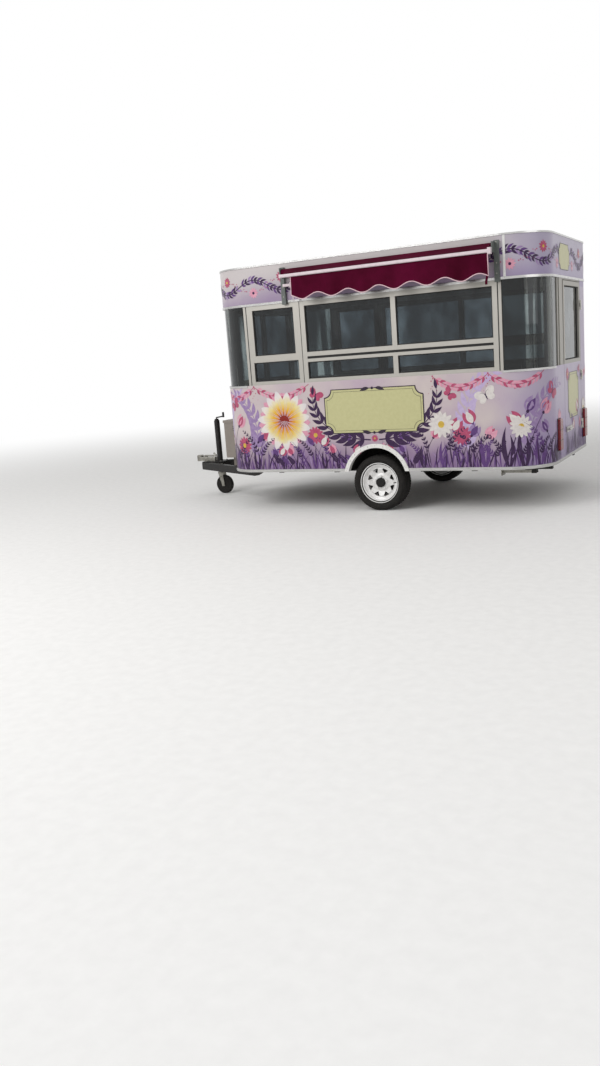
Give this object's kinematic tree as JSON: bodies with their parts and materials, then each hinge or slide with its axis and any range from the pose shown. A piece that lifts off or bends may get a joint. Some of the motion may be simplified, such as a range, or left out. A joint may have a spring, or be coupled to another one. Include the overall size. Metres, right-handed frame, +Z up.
{
  "type": "food trailer",
  "caption": "Single-axle food trailer with rounded glazed corners, sliding serving windows, a scalloped awning, a rear door and an A-frame drawbar with jockey wheel.",
  "frame": {"origin": "on the ground, below the middle of the whole trailer's box", "axes": "+X to the rear, +Y to the side away from the serving windows, +Z up"},
  "size_m": [4.107, 2.091, 2.255],
  "materials": {
    "wrapped_panel": "satin",
    "roof_sheet": "satin",
    "bright_aluminium": "polished",
    "window_aluminium": "satin",
    "glazing": "gloss",
    "arch_trim": "satin",
    "wheel_box": "matt",
    "floor_ply": "matt",
    "chassis_steel": "satin",
    "zinc_plated": "satin",
    "jockey_tyre": "matt",
    "locker_paint": "satin",
    "wheel_paint": "gloss",
    "tyre": "matt",
    "hub_iron": "rough",
    "awning_white": "satin",
    "awning_cloth": "matt",
    "bracket_grey": "satin",
    "worktop_steel": "brushed",
    "cabinet_board": "satin",
    "lamp_lens": "gloss",
    "hinge_steel": "satin"
  },
  "bodies": {
    "trailer": {"lower_wall_serving": "wrapped_panel", "lower_wall_far": "wrapped_panel", "lower_front_end": "wrapped_panel", "lower_rear_end": "wrapped_panel", "rear_corner_panel_far": "wrapped_panel", "fascia_serving": "wrapped_panel", "fascia_far": "wrapped_panel", "fascia_front_end": "wrapped_panel", "fascia_rear_end": "wrapped_panel", "roof_panel": "roof_sheet", "edge_strips": "bright_aluminium", "window_frames_serving": "window_aluminium", "window_frames_far": "window_aluminium", "window_frame_front": "window_aluminium", "window_glass": "glazing", "corner_glass": "glazing", "window_posts": "window_aluminium", "wall_hinge_leaves": "hinge_steel", "arch_trims": "arch_trim", "wheel_boxes": "wheel_box", "floor_panel": "floor_ply", "chassis_rails": "chassis_steel", "cross_members": "chassis_steel", "drawbar_beams": "chassis_steel", "drawbar_tip_plate": "chassis_steel", "coupling_head": "zinc_plated", "jockey_outer_tube": "chassis_steel", "locker_box": "locker_paint", "axle_tube": "chassis_steel", "stub_axles": "chassis_steel", "awning_brackets": "bracket_grey", "awning_roller": "awning_cloth", "awning_front_bar": "awning_white", "awning_canopy": "awning_cloth", "awning_valance": "awning_cloth", "awning_arms": "awning_white", "worktop": "worktop_steel", "cabinet_frame": "cabinet_board", "tail_lamps": "lamp_lens"},
    "wheel_serving": {"wheel_rim_serving": "wheel_paint", "wheel_tyre_serving": "tyre", "wheel_hub_serving": "hub_iron"},
    "wheel_far": {"wheel_rim_far": "wheel_paint", "wheel_tyre_far": "tyre", "wheel_hub_far": "hub_iron"},
    "jockey_leg": {"jockey_inner_tube": "zinc_plated"},
    "jockey_fork": {"jockey_fork": "zinc_plated"},
    "jockey_wheel": {"jockey_wheel": "jockey_tyre"},
    "steady_serving": {"steady_leg_serving": "zinc_plated"},
    "steady_far": {"steady_leg_far": "zinc_plated"},
    "rear_door": {"door_panel": "wrapped_panel", "door_window_frame": "window_aluminium", "door_glass": "glazing", "door_fittings": "hinge_steel"},
    "locker_lid": {"locker_lid": "locker_paint"}
  },
  "joints": [
    {"name": "wheel_serving_spin", "type": "hinge", "parent": "trailer", "child": "wheel_serving", "pos_m": [0.5045, -0.7485, 0.25], "axis": [0, 1, 0], "continuous": true},
    {"name": "wheel_far_spin", "type": "hinge", "parent": "trailer", "child": "wheel_far", "pos_m": [0.5045, 0.9155, 0.25], "axis": [0, 1, 0], "continuous": true},
    {"name": "jockey_raise", "type": "slide", "parent": "trailer", "child": "jockey_leg", "axis": [0, 0, 1], "range_m": [-0.06, 0.085]},
    {"name": "jockey_swivel", "type": "hinge", "parent": "jockey_leg", "child": "jockey_fork", "pos_m": [-1.7605, 0.0835, 0.232], "axis": [0, 0, 1], "continuous": true},
    {"name": "jockey_wheel_spin", "type": "hinge", "parent": "jockey_fork", "child": "jockey_wheel", "pos_m": [-1.7245, 0.0835, 0.1], "axis": [0, 1, 0], "continuous": true},
    {"name": "steady_serving_drop", "type": "hinge", "parent": "trailer", "child": "steady_serving", "pos_m": [1.8345, -0.5565, 0.312], "axis": [0, -1, 0], "range_deg": [0, 90]},
    {"name": "steady_far_drop", "type": "hinge", "parent": "trailer", "child": "steady_far", "pos_m": [1.8345, 0.7235, 0.312], "axis": [0, -1, 0], "range_deg": [0, 90]},
    {"name": "rear_door_swing", "type": "hinge", "parent": "trailer", "child": "rear_door", "pos_m": [2.0285, 0.5215, 0.4], "axis": [0, 0, 1], "range_deg": [0, 165]},
    {"name": "locker_lid_lift", "type": "hinge", "parent": "trailer", "child": "locker_lid", "pos_m": [-1.1542, 0.0835, 0.822], "axis": [0, 1, 0], "range_deg": [0, 95]}
  ]
}
